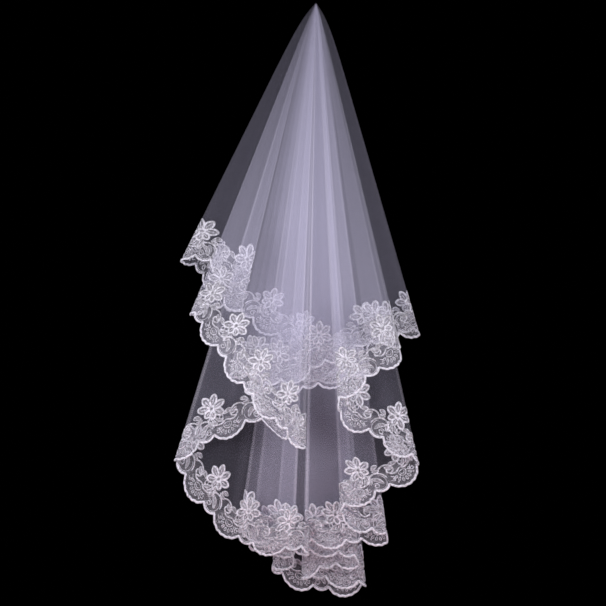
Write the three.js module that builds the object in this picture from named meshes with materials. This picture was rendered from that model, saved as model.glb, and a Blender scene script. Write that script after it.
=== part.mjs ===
// Lace bridal veil: one oval of tulle, pinched at one point and hung there, with a scalloped lace border.
// Millimetres, +Z up. The point that it hangs from is the origin, and the side seen in front faces -Y.
import * as THREE from 'three';

// The cloth
const WHOLE_TURN = 360;
const TULLE_WALL_AT_TIP = 0.5;
const TULLE_WALL_GROWTH = 0.0016;
const LACE_WALL = 2.0;
const SEAM_GAP = 1.2;

// The gathered tip: the pleats start side by side in a small bundle, not in one point. Those in front are
// gathered more tightly than the cloth at the sides and behind.
const TIP_HALF_WIDTH = 12;
const TIP_HALF_DEPTH = 8;
const TIP_ROUNDING = 26;
const FRONT_TIP_SHARE = 0.25;
const FRONT_TIP_BACK = -12;
const LOOSE_TIP_BACK = -3;
const TIP_RINGS = [2, 6, 12, 20, 30, 45];
const TIP_MARGIN = 1.5;
const FAN_CENTRE = -5.2;
const FAN_HALF_WIDTH = 21.2;
const FAN_HALF_DEPTH = 18;

// The lace border
const LACE_REPEATS = 60;
const COLUMNS_PER_REPEAT = 7;
const BIG_SCALLOP_COLUMNS = 4;
const SCALLOP_NOTCH = 10;
const SMALL_SCALLOP_RISE = 6;
const LACE_EDGE_BAND = 20;
const LACE_NET_BAND = 52;
const LACE_TOP_AT_FLOWER = 80;
const LACE_TOP_BETWEEN = 68;
const BIG_GAP_COLUMNS = [1, 2];
const SMALL_GAP_COLUMNS = [5];
const GAP_ROW = 1;
const LACE_ROWS = 3;

// How finely the turn of the cloth is worked out
const CURVE_STEPS = 3600;
const STEP_TURN = WHOLE_TURN / CURVE_STEPS;
const STEPS_PER_STRETCH = 300;
const STEPS_PER_TURN = 40;
const FOLD_ROUNDING = 0.3;
const HEM_ROUNDING = 1.5;
const INWARD_ROUNDING = 8;
const SWING_TRIALS = 40;
const SWING_LIMIT = 4;

// Every fold and bend of the cloth on its way round, from the left edge over the front to the right edge
// and back behind. side and back are the angles of its ray from straight down, to the right and to the
// back, in degrees. drop is the length of cloth from the hanging point to the hem along that ray, in mm.
// turn is the width of the round end of a fold in degrees, 0 where the cloth passes straight through.
// waves and swing are the ripples on the way to the next row, and the share of the ripple's width.
const FOLD_COLUMNS = ['name', 'side', 'back', 'drop', 'turn', 'waves', 'swing'];
const FOLDS = [
  ['left edge', -26.2, 0.0, 438, 1.4, 2, 0.3],
  ['left edge, front side', -21.0, -3.0, 434, 0, 2, 0.3],
  ['left inner fold', -13.1, -7.0, 485, 1.4, 2, 0.3],
  ['front left fold', -21.3, -12.0, 524, 2.0, 1, 0.2],
  ['front left, upper', -16.1, -16.5, 575, 0, 1, 0.2],
  ['front left, middle', -11.9, -17.4, 618, 0, 1, 0.2],
  ['front left, lower', -7.1, -18.0, 664, 0, 1, 0.2],
  ['front middle fold', -1.5, -17.4, 712, 1.2, 1, 0.1],
  ['under the front left, upper', -6.3, -15.8, 662, 0, 1, 0.15],
  ['under the front left, lower', -11.0, -15.2, 696, 0, 1, 0.15],
  ['low left fold', -16.5, -14.2, 753, 1.2, 1, 0.15],
  ['low left, first bend', -14.4, -13.2, 788, 0, 1, 0.15],
  ['low left, second bend', -11.0, -12.9, 823, 0, 1, 0.15],
  ['low left, third bend', -7.3, -12.5, 850, 0, 1, 0.15],
  ['low left, inner fold', -0.9, -12.0, 845, 0.9, 1, 0.1],
  ['low pleat one, left', -8.2, -11.0, 823, 0.9, 1, 0.15],
  ['low pleat one, right', -2.2, -10.0, 849, 0.9, 1, 0.1],
  ['low pleat two, left', -6.9, -9.0, 837, 0.9, 1, 0.1],
  ['low pleat two, right', -2.3, -8.0, 862, 0.9, 1, 0.1],
  ['bottom left fold', -4.5, -7.1, 880, 0.8, 1, 0.15],
  ['bottom, left bend', -2.4, -6.8, 896, 0, 1, 0.15],
  ['bottom, middle', 0.7, -6.6, 904, 0, 1, 0.15],
  ['bottom right fold', 4.5, -7.0, 894, 0.9, 1, 0.15],
  ['low pleat three, left', -1.6, -8.1, 874, 0.9, 1, 0.15],
  ['low pleat three, right', 4.1, -9.2, 856, 0.9, 1, 0.15],
  ['low pleat four, left', -1.4, -10.3, 832, 0.9, 1, 0.15],
  ['low right, middle', 2.6, -10.9, 836, 0, 1, 0.15],
  ['low right fold', 7.3, -11.6, 830, 1.1, 1, 0.1],
  ['low right, inner fold', 2.5, -12.7, 782, 1.1, 1, 0.15],
  ['middle right, lower', 8.6, -13.5, 759, 0, 1, 0.1],
  ['middle right fold', 11.9, -14.3, 728, 1.1, 1, 0.1],
  ['middle right, upper', 8.5, -15.1, 687, 0, 1, 0.1],
  ['middle right, inner bend', 4.2, -15.5, 660, 0, 0, 0],
  ['front inner fold', 2.8, -16.1, 623, 1.1, 1, 0.15],
  ['front right', 9.2, -17.3, 594, 0, 1, 0.15],
  ['upper right, front', 12.7, -16.5, 564, 0, 0, 0],
  ['upper right, back', 13.2, -11.5, 544, 0, 1, 0.1],
  ['right inner fold', 7.8, -6.6, 537, 1.4, 2, 0.25],
  ['right edge', 16.1, -1.0, 527, 1.4, 1, 0.3],
  ['back, right bend', 10.2, 4.2, 536, 0, 4, 0.8],
  ['back pleat one, left', -9.8, 5.6, 614, 1.5, 4, 0.8],
  ['back pleat one, right', 7.9, 7.8, 582, 1.5, 4, 0.8],
  ['back pleat two, left', -12.8, 10.0, 599, 1.5, 5, 0.8],
  ['back pleat two, right', 7.1, 12.2, 595, 1.5, 4, 0.8],
  ['back pleat three, left', -11.4, 14.4, 607, 1.5, 4, 0.8],
  ['back pleat three, right', 4.2, 16.6, 602, 1.5, 2, 0.8],
  ['back, middle', -4.1, 18.6, 547, 0, 2, 0.6],
  ['back, left bend', -14.8, 15.5, 495, 0, 3, 0.5],
  ['left edge, back side', -21.3, 6.0, 450, 0, 1, 0.4],
].map((row) => Object.fromEntries(row.map((value, i) => [FOLD_COLUMNS[i], value])));

// Unit direction of the ray at these two angles from straight down.
function rayDirection(side, back) {
  const rad = THREE.MathUtils.degToRad;
  return new THREE.Vector3(Math.tan(rad(side)), Math.tan(rad(back)), -1).normalize();
}

// Point of the cloth on a ray, this length of cloth away from the hanging point.
function pointOnRay(side, back, length) {
  const gathered = 1 - Math.exp(-length / TIP_ROUNDING);
  const loose = THREE.MathUtils.smoothstep(back, FRONT_TIP_BACK, LOOSE_TIP_BACK);
  const halfWidth = TIP_HALF_WIDTH * mix(FRONT_TIP_SHARE, 1, loose);
  const point = rayDirection(side, back).multiplyScalar(length);
  point.x += (halfWidth * gathered * (side - FAN_CENTRE)) / FAN_HALF_WIDTH;
  point.y += (TIP_HALF_DEPTH * gathered * back) / FAN_HALF_DEPTH;
  return point;
}

// The way round through all folds as [side, back] points, and the point at which each row lies.
function wayRound(swingScale) {
  const path = [];
  const rowAt = [];
  const ends = FOLDS.map((row, i) => {
    const before = FOLDS.at(i - 1);
    const after = FOLDS[(i + 1) % FOLDS.length];
    const half = (row.turn / 2) * Math.sign(after.back - before.back);
    return { into: [row.side, row.back - half], out: [row.side, row.back + half] };
  });
  FOLDS.forEach((row, i) => {
    const { into, out } = ends[i];
    if (row.turn > 0) {
      for (let k = 0; k < STEPS_PER_TURN; k++) {
        path.push([row.side, into[1] + ((out[1] - into[1]) * k) / STEPS_PER_TURN]);
      }
      rowAt.push(path.length - STEPS_PER_TURN / 2);
    } else {
      rowAt.push(path.length);
    }
    const next = ends[(i + 1) % FOLDS.length].into;
    const along = [next[0] - out[0], next[1] - out[1]];
    const length = Math.hypot(along[0], along[1]);
    for (let k = 0; k < STEPS_PER_STRETCH; k++) {
      const t = k / STEPS_PER_STRETCH;
      const wave = (row.swing * swingScale * Math.sin(2 * Math.PI * row.waves * t)) / length;
      path.push([out[0] + along[0] * t - along[1] * wave, out[1] + along[1] * t + along[0] * wave]);
    }
  });
  return { path, rowAt };
}

// Running length of a closed row of points, one entry more than it has points.
function runningLength(points, distance) {
  const run = [0];
  points.forEach((point, i) => {
    run.push(run[i] + distance(point, points[(i + 1) % points.length]));
  });
  return run;
}

// Place in a rising row of numbers: the entry before the value, and the share of the way to the next.
function placeInRow(row, value) {
  let low = 0;
  let high = row.length - 1;
  while (high - low > 1) {
    const middle = (low + high) >> 1;
    if (row[middle] > value) high = middle;
    else low = middle;
  }
  return { index: low, share: (value - row[low]) / (row[high] - row[low]) };
}

const mix = (a, b, t) => a + (b - a) * t;

// The same closed row at equal steps of its own length.
function evenSteps(points, run, count) {
  return Array.from({ length: count }, (_, i) => {
    const { index, share } = placeInRow(run, (i / count) * run.at(-1));
    const a = points[index];
    const b = points[(index + 1) % points.length];
    return [mix(a[0], b[0], share), mix(a[1], b[1], share)];
  });
}

// Rounds the bends of a closed row with a bell-shaped average over its neighbours.
function rounded(points, spread) {
  const reach = Math.floor(3 * spread);
  const weights = Array.from({ length: 2 * reach + 1 }, (_, k) => Math.exp(-0.5 * ((k - reach) / spread) ** 2));
  const sum = weights.reduce((total, weight) => total + weight);
  return points.map((_, i) => {
    const mean = [0, 0];
    weights.forEach((weight, k) => {
      const point = points[(i + k - reach + points.length) % points.length];
      mean[0] += (weight * point[0]) / sum;
      mean[1] += (weight * point[1]) / sum;
    });
    return mean;
  });
}

// The cloth's direction curve for one width of ripple: its rays, the flat angle up to each ray and the
// flat angle of each row of the table.
function directionCurve(swingScale) {
  const { path, rowAt } = wayRound(swingScale);
  const pathRun = runningLength(path, (a, b) => Math.hypot(b[0] - a[0], b[1] - a[1]));
  const even = evenSteps(path, pathRun, CURVE_STEPS);
  const rays = rounded(even, (FOLD_ROUNDING * CURVE_STEPS) / pathRun.at(-1));
  const between = (a, b) => THREE.MathUtils.radToDeg(rayDirection(...a).angleTo(rayDirection(...b)));
  const turns = runningLength(rays, between);
  const rowTurns = rowAt.map((at) => {
    const step = (pathRun[at] / pathRun.at(-1)) * CURVE_STEPS;
    const index = Math.floor(step);
    return mix(turns[index], turns[index + 1], step - index);
  });
  return { rays, turns, rowTurns };
}

// The ripples take up what is left, so that the rays together use exactly one whole turn of flat cloth.
function closedDirectionCurve() {
  let low = 0;
  let high = SWING_LIMIT;
  for (let trial = 0; trial < SWING_TRIALS; trial++) {
    const middle = (low + high) / 2;
    if (directionCurve(middle).turns.at(-1) > WHOLE_TURN) high = middle;
    else low = middle;
  }
  return directionCurve(low);
}

// Length of cloth from the hanging point to the hem at each step of flat angle, a smooth curve through
// the rows.
function hemLengths(rowTurns) {
  const count = FOLDS.length;
  const drops = FOLDS.map((row) => row.drop);
  const widths = rowTurns.map((turn, i) => (i + 1 < count ? rowTurns[i + 1] : rowTurns[0] + WHOLE_TURN) - turn);
  const rises = drops.map((drop, i) => (drops[(i + 1) % count] - drop) / widths[i]);
  const slopes = rises.map((rise, i) => {
    const before = rises.at(i - 1);
    return before * rise > 0 ? (2 * before * rise) / (before + rise) : 0;
  });
  return Array.from({ length: CURVE_STEPS }, (_, step) => {
    const turn = step * STEP_TURN;
    const found = rowTurns.findLastIndex((rowTurn) => rowTurn <= turn);
    const i = found < 0 ? count - 1 : found;
    const j = (i + 1) % count;
    const t = ((turn - rowTurns[i] + WHOLE_TURN) % WHOLE_TURN) / widths[i];
    const ease = t * t * (3 - 2 * t);
    const leave = t * (1 - t) ** 2 * widths[i] * slopes[i];
    const arrive = t * t * (t - 1) * widths[i] * slopes[j];
    return mix(drops[i], drops[j], ease) + leave + arrive;
  });
}

// Hem of the flat cloth round its hanging point, with its lengths evened out over this flat angle.
function flatHemRing(lengths, evenedOver) {
  const evened = rounded(lengths.map((length) => [length, 0]), evenedOver / STEP_TURN);
  return evened.map(([length], step) => {
    const turn = THREE.MathUtils.degToRad(step * STEP_TURN);
    return new THREE.Vector2(length * Math.cos(turn), length * Math.sin(turn));
  });
}

const curve = closedDirectionCurve();
const rays = evenSteps(curve.rays, curve.turns, CURVE_STEPS);
const lengths = hemLengths(curve.rowTurns);
const flatHem = flatHemRing(lengths, HEM_ROUNDING);
const hemRun = runningLength(flatHem, (a, b) => a.distanceTo(b));
const inwards = flatHemRing(lengths, INWARD_ROUNDING).map((_, i, ring) => {
  const along = ring[(i + 1) % CURVE_STEPS].clone().sub(ring.at(i - 1)).normalize();
  return new THREE.Vector2(-along.y, along.x);
});

// Side and back angle of the ray at a flat angle of the cloth.
function rayAtTurn(turn) {
  const step = THREE.MathUtils.euclideanModulo(turn, WHOLE_TURN) / STEP_TURN;
  const index = Math.floor(step) % CURVE_STEPS;
  const a = rays[index];
  const b = rays[(index + 1) % CURVE_STEPS];
  return [mix(a[0], b[0], step - index), mix(a[1], b[1], step - index)];
}

// Hanging place of a point of the flat cloth, set off from the cloth's middle by this much.
function hang(turn, length, offset) {
  const ray = rayAtTurn(turn);
  const direction = rayDirection(...ray);
  const ahead = rayDirection(...rayAtTurn(turn + STEP_TURN));
  const across = ahead.sub(rayDirection(...rayAtTurn(turn - STEP_TURN)));
  const normal = across.cross(direction).normalize();
  return pointOnRay(...ray, length).addScaledVector(normal, offset);
}

// Point of the flat cloth at a share of the way along the hem, this far in from it, as turn and length.
function flatPlace(hemShare, inward) {
  const { index, share } = placeInRow(hemRun, hemShare * hemRun.at(-1));
  const next = (index + 1) % CURVE_STEPS;
  const place = flatHem[index].clone().lerp(flatHem[next], share);
  place.addScaledVector(inwards[index].clone().lerp(inwards[next], share), inward);
  return { turn: THREE.MathUtils.radToDeg(place.angle()), length: place.length() };
}

// How far the hem's edge is drawn in at a column of the repeat: a big scallop, then a small one.
function scallopDepth(column) {
  if (column <= BIG_SCALLOP_COLUMNS) {
    return SCALLOP_NOTCH * (1 - Math.sin((Math.PI * column) / BIG_SCALLOP_COLUMNS));
  }
  const share = (column - BIG_SCALLOP_COLUMNS) / (COLUMNS_PER_REPEAT - BIG_SCALLOP_COLUMNS);
  return SCALLOP_NOTCH - SMALL_SCALLOP_RISE * Math.sin(Math.PI * share);
}

// Width of the lace at a column: it reaches up higher at the flower over the big scallop.
function laceTop(column) {
  const fromFlower = (column - BIG_SCALLOP_COLUMNS / 2) / COLUMNS_PER_REPEAT;
  const height = (1 + Math.cos(2 * Math.PI * fromFlower)) / 2;
  return mix(LACE_TOP_BETWEEN, LACE_TOP_AT_FLOWER, height);
}

// Wall over a ring of cells, as positions and triangles. Its faces lie half a wall on each side of the
// cloth's middle, and it has an edge wall wherever a filled cell meets an empty one.
function ringWall(columns, rows, cornerAt, isFilled) {
  const positions = [];
  const triangles = [];
  for (let i = 0; i < columns; i++) {
    for (let j = 0; j <= rows; j++) {
      positions.push(cornerAt(i, j, -1), cornerAt(i, j, 1));
    }
  }
  const vertex = (i, j, face) => (((i + columns) % columns) * (rows + 1) + j) * 2 + face;
  const quad = (a, b, c, d) => triangles.push([a, c, b], [a, d, c]);
  const filled = (i, j) => isFilled((i + columns) % columns, j);
  for (let i = 0; i < columns; i++) {
    for (let j = 0; j < rows; j++) {
      if (!filled(i, j)) continue;
      quad(vertex(i, j, 1), vertex(i + 1, j, 1), vertex(i + 1, j + 1, 1), vertex(i, j + 1, 1));
      quad(vertex(i, j, 0), vertex(i, j + 1, 0), vertex(i + 1, j + 1, 0), vertex(i + 1, j, 0));
      if (!filled(i, j - 1)) quad(vertex(i, j, 0), vertex(i + 1, j, 0), vertex(i + 1, j, 1), vertex(i, j, 1));
      if (!filled(i, j + 1)) {
        quad(vertex(i, j + 1, 1), vertex(i + 1, j + 1, 1), vertex(i + 1, j + 1, 0), vertex(i, j + 1, 0));
      }
      if (!filled(i - 1, j)) quad(vertex(i, j, 0), vertex(i, j, 1), vertex(i, j + 1, 1), vertex(i, j + 1, 0));
      if (!filled(i + 1, j)) {
        quad(vertex(i + 1, j, 1), vertex(i + 1, j, 0), vertex(i + 1, j + 1, 0), vertex(i + 1, j + 1, 1));
      }
    }
  }
  return { positions, triangles, vertex };
}

// Outline of the smallest convex shape round these points of a plane, in turning order.
function convexOutline(points) {
  const sorted = [...points].sort((a, b) => a.x - b.x || a.y - b.y);
  const halfOutline = (row) => {
    const chain = [];
    for (const point of row) {
      while (chain.length > 1) {
        const from = chain.at(-2);
        const turn = chain.at(-1).clone().sub(from).cross(point.clone().sub(from));
        if (turn > 0) break;
        chain.pop();
      }
      chain.push(point);
    }
    return chain.slice(0, -1);
  };
  return [...halfOutline(sorted), ...halfOutline(sorted.reverse())];
}

const COLUMNS = LACE_REPEATS * COLUMNS_PER_REPEAT;

// The tulle: a solid gathered tip, and from its end the pleated wall down to the lace, thin at the tip and
// thicker lower down.
function tulleVeil() {
  const tipLength = TIP_RINGS.at(-1);
  const cornerAt = (i, j, face) => {
    const seam = flatPlace(i / COLUMNS, laceTop(i % COLUMNS_PER_REPEAT) + SEAM_GAP);
    const length = j === 0 ? seam.length : tipLength;
    const wall = TULLE_WALL_AT_TIP + TULLE_WALL_GROWTH * length;
    return hang(seam.turn, length, (face * wall) / 2);
  };
  const { positions, triangles, vertex } = ringWall(COLUMNS, 1, cornerAt, (i, j) => j >= 0);
  const addFacingAway = (inside, corners) => {
    const [a, b, c] = corners.map((corner) => positions[corner]);
    const normal = b.clone().sub(a).cross(c.clone().sub(a));
    const outward = normal.dot(a.clone().sub(inside)) > 0;
    triangles.push(outward ? corners : [corners[0], corners[2], corners[1]]);
  };

  // The solid tip in rings, from the hanging point to its end
  const centre = new THREE.Vector2(FAN_CENTRE, 0);
  const rayAtTipEnd = new Map();
  FOLDS.forEach(({ side, back }) => {
    const end = pointOnRay(side, back, tipLength);
    rayAtTipEnd.set(new THREE.Vector2(end.x, end.y), new THREE.Vector2(side, back));
  });
  const outline = convexOutline([...rayAtTipEnd.keys()]).map((end) => {
    const fromCentre = rayAtTipEnd.get(end).clone().sub(centre);
    return centre.clone().add(fromCentre.setLength(fromCentre.length() + TIP_MARGIN));
  });
  const hangingPoint = new THREE.Vector3(0, 0, 0);
  const top = positions.push(hangingPoint) - 1;
  const rings = TIP_RINGS.map((length) => {
    return outline.map((ray) => positions.push(pointOnRay(ray.x, ray.y, length)) - 1);
  });
  rings.forEach((ring, r) => {
    const inside = pointOnRay(centre.x, centre.y, TIP_RINGS[r]);
    ring.forEach((corner, k) => {
      const next = (k + 1) % ring.length;
      if (r === 0) {
        addFacingAway(inside, [top, corner, ring[next]]);
      } else {
        addFacingAway(inside, [rings[r - 1][k], corner, ring[next]]);
        addFacingAway(inside, [rings[r - 1][k], ring[next], rings[r - 1][next]]);
      }
    });
  });

  // The end of the tip, outside the pleats and in the hollow between them
  const seenFromTop = (corner) => {
    const point = positions[corner];
    return new THREE.Vector2(point.x / -point.z, point.y / -point.z);
  };
  const columns = Array.from({ length: COLUMNS }, (_, i) => i);
  const outerLoop = columns.map((i) => vertex(i, 1, 0));
  const innerLoop = columns.map((i) => vertex(i, 1, 1));
  const closeEnd = (contour, holes) => {
    const corners = [...contour, ...holes.flat()];
    const faces = THREE.ShapeUtils.triangulateShape(
      contour.map(seenFromTop),
      holes.map((hole) => hole.map(seenFromTop)),
    );
    faces.forEach((face) => addFacingAway(hangingPoint, face.map((k) => corners[k])));
  };
  closeEnd(rings.at(-1), [outerLoop]);
  closeEnd(innerLoop, []);
  return { positions, triangles };
}

// The lace border, cut through between its motifs.
function laceWall() {
  const cornerAt = (i, j, face) => {
    const column = i % COLUMNS_PER_REPEAT;
    const inward = [scallopDepth(column), LACE_EDGE_BAND, LACE_NET_BAND, laceTop(column)][j];
    const place = flatPlace(i / COLUMNS, inward);
    return hang(place.turn, place.length, (face * LACE_WALL) / 2);
  };
  const gaps = [...BIG_GAP_COLUMNS, ...SMALL_GAP_COLUMNS];
  const isFilled = (i, j) => {
    const isGap = j === GAP_ROW && gaps.includes(i % COLUMNS_PER_REPEAT);
    return j >= 0 && j < LACE_ROWS && !isGap;
  };
  return ringWall(COLUMNS, LACE_ROWS, cornerAt, isFilled);
}

function namedMesh(name, { positions, triangles }, color, roughness) {
  const geometry = new THREE.BufferGeometry();
  const coordinates = positions.flatMap((point) => point.toArray());
  geometry.setAttribute('position', new THREE.Float32BufferAttribute(coordinates, 3));
  geometry.setIndex(triangles.flat());
  geometry.computeVertexNormals();
  const material = new THREE.MeshStandardMaterial({ color, roughness, metalness: 0 });
  const mesh = new THREE.Mesh(geometry, material);
  mesh.name = name;
  return mesh;
}

const veil = new THREE.Group();
veil.add(namedMesh('tulle_veil', tulleVeil(), 0xe6e3f0, 0.7));
veil.add(namedMesh('lace_border', laceWall(), 0xf4f2fa, 0.6));

export default veil;
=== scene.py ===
"""Lace bridal veil: one oval of tulle that hangs from one point, with an embroidered lace border."""
import math

import bpy
import numpy as np
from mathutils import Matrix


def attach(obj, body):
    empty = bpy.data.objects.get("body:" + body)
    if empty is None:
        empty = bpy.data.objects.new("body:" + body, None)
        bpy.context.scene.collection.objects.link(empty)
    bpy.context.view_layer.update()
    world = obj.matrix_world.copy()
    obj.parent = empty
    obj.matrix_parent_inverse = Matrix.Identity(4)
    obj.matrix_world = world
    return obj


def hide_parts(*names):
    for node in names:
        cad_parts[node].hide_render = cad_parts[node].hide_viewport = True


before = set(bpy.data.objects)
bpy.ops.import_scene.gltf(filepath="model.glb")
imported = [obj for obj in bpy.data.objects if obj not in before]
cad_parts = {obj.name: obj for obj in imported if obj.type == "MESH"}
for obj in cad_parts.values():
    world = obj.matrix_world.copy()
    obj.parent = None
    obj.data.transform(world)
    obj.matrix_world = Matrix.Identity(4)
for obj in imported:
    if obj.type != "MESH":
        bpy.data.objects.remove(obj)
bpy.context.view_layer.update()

bl_info = {
    "name": "Lace Bridal Veil",
    "version": (1, 0, 0),
    "blender": (4, 5, 0),
    "location": "3D View > Sidebar > Veil",
    "description": "Makes a hanging tulle veil with an embroidered lace border",
    "category": "Object",
}

# The form of the cloth is worked out in millimetres, with the hanging point at the origin.
METRES = 0.001
WHOLE_TURN = 360.0

# The gathered tip: the pleats start side by side in a small bundle, not in one point. Those in front are
# gathered more tightly than the cloth at the sides and behind.
TIP_HALF_WIDTH = 12.0
TIP_HALF_DEPTH = 8.0
TIP_ROUNDING = 26.0
FRONT_TIP_SHARE = 0.25
FRONT_TIP_BACK = -12.0
LOOSE_TIP_BACK = -3.0
FAN_CENTRE = -5.2
FAN_HALF_WIDTH = 21.2
FAN_HALF_DEPTH = 18.0

# How finely the turn of the cloth is worked out.
CURVE_STEPS = 3600
STEP_TURN = WHOLE_TURN / CURVE_STEPS
STEPS_PER_STRETCH = 300
STEPS_PER_TURN = 40
FOLD_ROUNDING = 0.3
HEM_ROUNDING = 1.5
INWARD_ROUNDING = 8.0
SWING_TRIALS = 40
SWING_LIMIT = 4.0

# Every fold and bend of the cloth on its way round, from the left edge over the front to the right edge
# and back behind: side and back angle of its ray from straight down in degrees, length of cloth from the
# hanging point to the hem in mm, width of the round fold end in degrees (0 where the cloth passes
# straight through), and the count and width of the ripples on the way to the next row.
FOLDS = (
    ("left edge", -26.2, 0.0, 438, 1.4, 2, 0.3),
    ("left edge, front side", -21.0, -3.0, 434, 0, 2, 0.3),
    ("left inner fold", -13.1, -7.0, 485, 1.4, 2, 0.3),
    ("front left fold", -21.3, -12.0, 524, 2.0, 1, 0.2),
    ("front left, upper", -16.1, -16.5, 575, 0, 1, 0.2),
    ("front left, middle", -11.9, -17.4, 618, 0, 1, 0.2),
    ("front left, lower", -7.1, -18.0, 664, 0, 1, 0.2),
    ("front middle fold", -1.5, -17.4, 712, 1.2, 1, 0.1),
    ("under the front left, upper", -6.3, -15.8, 662, 0, 1, 0.15),
    ("under the front left, lower", -11.0, -15.2, 696, 0, 1, 0.15),
    ("low left fold", -16.5, -14.2, 753, 1.2, 1, 0.15),
    ("low left, first bend", -14.4, -13.2, 788, 0, 1, 0.15),
    ("low left, second bend", -11.0, -12.9, 823, 0, 1, 0.15),
    ("low left, third bend", -7.3, -12.5, 850, 0, 1, 0.15),
    ("low left, inner fold", -0.9, -12.0, 845, 0.9, 1, 0.1),
    ("low pleat one, left", -8.2, -11.0, 823, 0.9, 1, 0.15),
    ("low pleat one, right", -2.2, -10.0, 849, 0.9, 1, 0.1),
    ("low pleat two, left", -6.9, -9.0, 837, 0.9, 1, 0.1),
    ("low pleat two, right", -2.3, -8.0, 862, 0.9, 1, 0.1),
    ("bottom left fold", -4.5, -7.1, 880, 0.8, 1, 0.15),
    ("bottom, left bend", -2.4, -6.8, 896, 0, 1, 0.15),
    ("bottom, middle", 0.7, -6.6, 904, 0, 1, 0.15),
    ("bottom right fold", 4.5, -7.0, 894, 0.9, 1, 0.15),
    ("low pleat three, left", -1.6, -8.1, 874, 0.9, 1, 0.15),
    ("low pleat three, right", 4.1, -9.2, 856, 0.9, 1, 0.15),
    ("low pleat four, left", -1.4, -10.3, 832, 0.9, 1, 0.15),
    ("low right, middle", 2.6, -10.9, 836, 0, 1, 0.15),
    ("low right fold", 7.3, -11.6, 830, 1.1, 1, 0.1),
    ("low right, inner fold", 2.5, -12.7, 782, 1.1, 1, 0.15),
    ("middle right, lower", 8.6, -13.5, 759, 0, 1, 0.1),
    ("middle right fold", 11.9, -14.3, 728, 1.1, 1, 0.1),
    ("middle right, upper", 8.5, -15.1, 687, 0, 1, 0.1),
    ("middle right, inner bend", 4.2, -15.5, 660, 0, 0, 0),
    ("front inner fold", 2.8, -16.1, 623, 1.1, 1, 0.15),
    ("front right", 9.2, -17.3, 594, 0, 1, 0.15),
    ("upper right, front", 12.7, -16.5, 564, 0, 0, 0),
    ("upper right, back", 13.2, -11.5, 544, 0, 1, 0.1),
    ("right inner fold", 7.8, -6.6, 537, 1.4, 2, 0.25),
    ("right edge", 16.1, -1.0, 527, 1.4, 1, 0.3),
    ("back, right bend", 10.2, 4.2, 536, 0, 4, 0.8),
    ("back pleat one, left", -9.8, 5.6, 614, 1.5, 4, 0.8),
    ("back pleat one, right", 7.9, 7.8, 582, 1.5, 4, 0.8),
    ("back pleat two, left", -12.8, 10.0, 599, 1.5, 5, 0.8),
    ("back pleat two, right", 7.1, 12.2, 595, 1.5, 4, 0.8),
    ("back pleat three, left", -11.4, 14.4, 607, 1.5, 4, 0.8),
    ("back pleat three, right", 4.2, 16.6, 602, 1.5, 2, 0.8),
    ("back, middle", -4.1, 18.6, 547, 0, 2, 0.6),
    ("back, left bend", -14.8, 15.5, 495, 0, 3, 0.5),
    ("left edge, back side", -21.3, 6.0, 450, 0, 1, 0.4),
)

# The tulle: columns run from the tip to the lace edge, rows go round.
LACE_REPEATS = 60
COLUMNS_PER_REPEAT = 70
TIP_ROWS = (1.0, 3.0, 6.0, 10.0, 15.0, 21.0, 29.0, 40.0, 56.0, 80.0)
LOWER_ROWS = 11
RIPPLE_COUNTS = (37, 61, 97)
RIPPLE_START = 200.0
CREASE_START = 50.0
CREASE_SPAN = 40.0
CREASE_LAST_BACK = 4.0
CREASE_FADE_BACK = 2.0
STREAKS = 70
STREAK_WIDTHS = (0.1, 0.45)
RANDOM_SEED = 11

# Where fine gathers, too small to build, make the net look denser or, if below zero, where it is pulled
# flat: from row to row of the folds, and by how much.
FULLER_PLEATS = (
    ("left inner fold", "front left, middle", 1.2),
    ("middle right, lower", "middle right, inner bend", -0.35),
    ("front right", "right inner fold", 0.7),
)
FULLER_EDGE = 1.5

# How strongly the net's threads stand out from its holes, and the most that one layer covers.
NET_CONTRAST = 0.28
MOST_COVER = 0.9

# The lace repeat, in mm of flat cloth: x runs along the hem from the middle of the big scallop, y inwards.
BIG_SCALLOP_RADIUS = 29.3
BIG_SCALLOP_HALF = 24.0
SMALL_LOOP_CENTRE = (36.1, 22.5)
SMALL_LOOP_RADIUS = 14.5
PICOT_PITCH = 8.5
PICOT_HEIGHT = 1.1
EDGE_STEP = 1.2
FLOWER_CENTRE = (19.0, 51.0)
FLOWER_EYE = 3.2
PETALS = 7
PETAL_FIRST = 14.0
PETAL_ROOT = 3.0
PETAL_REACH = 20.5
PETAL_HALF_WIDTH = 4.7
SHORT_PETAL = 0.72
SEED_CUP_CENTRE = (1.5, 20.5)
SEED_CUP_RADIUS = 6.2
SEEDS = 7
STROKE_STEP = 1.6

# The lace's ground: columns to a repeat, rows from the edge to its soft top, and that top's place in mm.
GROUND_COLUMNS = 35
GROUND_ROWS = 9
GROUND_TOP = 44.0
GROUND_FADE = 14.0
GROUND_LIFT = 0.35

# The leaves of one repeat: start, angle, length, half width and bend of each.
LEAVES = (
    ((27, 31), -42, 20.0, 2.7, 2.8),
    ((26, 38), -97, 15.5, 2.0, 1.6),
    ((22, 37), -118, 15.0, 2.0, 1.3),
    ((17, 36), -140, 14.0, 1.9, 1.0),
    ((3, 36), 168, 13.0, 2.7, -1.5),
    ((37, 43), 20, 12.0, 2.8, 1.2),
    ((36, 41), -10, 11.0, 2.2, -1.0),
    ((-6, 33), 152, 12.0, 2.4, 1.2),
)

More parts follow.
